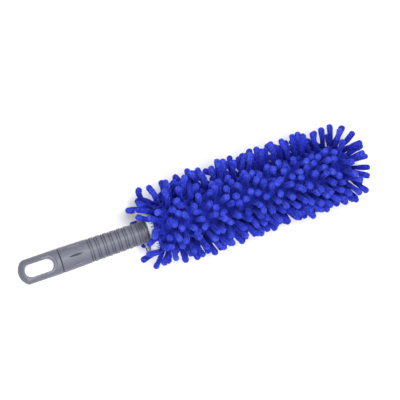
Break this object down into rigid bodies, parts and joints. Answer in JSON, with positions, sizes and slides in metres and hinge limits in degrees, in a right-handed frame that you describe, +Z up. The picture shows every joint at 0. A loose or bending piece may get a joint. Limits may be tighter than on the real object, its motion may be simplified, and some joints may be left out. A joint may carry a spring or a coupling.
{
  "type": "wheel brush",
  "caption": "Car wheel washing brush with a removable chenille microfibre sleeve over a flexible foam-padded core, and an oval ribbed grip with a hanging loop.",
  "frame": {"origin": "under the middle of the brush's length, on the surface that the lowest noodle tips rest on", "axes": "+Y from the hanging loop to the tip, +Z up through the faces of the hanging slot, +X to the right"},
  "size_m": [0.1064, 0.45, 0.0917],
  "materials": {
    "handle": "satin",
    "strip": "satin",
    "pin": "satin",
    "foam": "matte",
    "lining": "matte",
    "cuff": "matte",
    "backing": "matte",
    "stitch": "matte",
    "noodle": "matte"
  },
  "bodies": {
    "handle": {"hang_cap": "handle", "grip_body": "handle", "neck_collar": "handle", "strip_tang": "strip", "retaining_pins": "pin"},
    "core": {"strip_blade": "strip", "foam_upper": "foam", "foam_lower": "foam", "tip_guard": "strip"},
    "sleeve": {"backing": "backing", "lining": "lining", "seam_ridge": "backing", "cuff_band": "cuff", "cuff_stitches": "stitch", "noodle_row_01": "noodle", "noodle_row_02": "noodle", "noodle_row_03": "noodle", "noodle_row_04": "noodle", "noodle_row_05": "noodle", "noodle_row_06": "noodle", "noodle_row_07": "noodle", "noodle_row_08": "noodle", "noodle_row_09": "noodle", "noodle_row_10": "noodle", "noodle_row_11": "noodle", "noodle_row_12": "noodle", "noodle_row_13": "noodle", "noodle_row_14": "noodle", "noodle_row_15": "noodle", "noodle_row_16": "noodle", "noodle_row_17": "noodle", "noodle_row_18": "noodle", "noodle_row_19": "noodle", "noodle_row_20": "noodle", "noodle_row_21": "noodle", "noodle_row_22": "noodle", "noodle_row_23": "noodle", "noodle_row_24": "noodle", "noodle_row_25": "noodle", "noodle_row_26": "noodle", "nose_row_outer": "noodle", "nose_row_inner": "noodle", "tip_noodles": "noodle"}
  },
  "joints": [
    {"name": "neck_flex", "type": "hinge", "parent": "handle", "child": "core", "pos_m": [0, -0.05, 0.04587], "axis": [1, 0, 0], "range_deg": [-12, 12], "stiffness_Nm_per_rad": 5},
    {"name": "sleeve_slide", "type": "slide", "parent": "core", "child": "sleeve", "axis": [0, 1, 0], "range_m": [0, 0.27]}
  ]
}
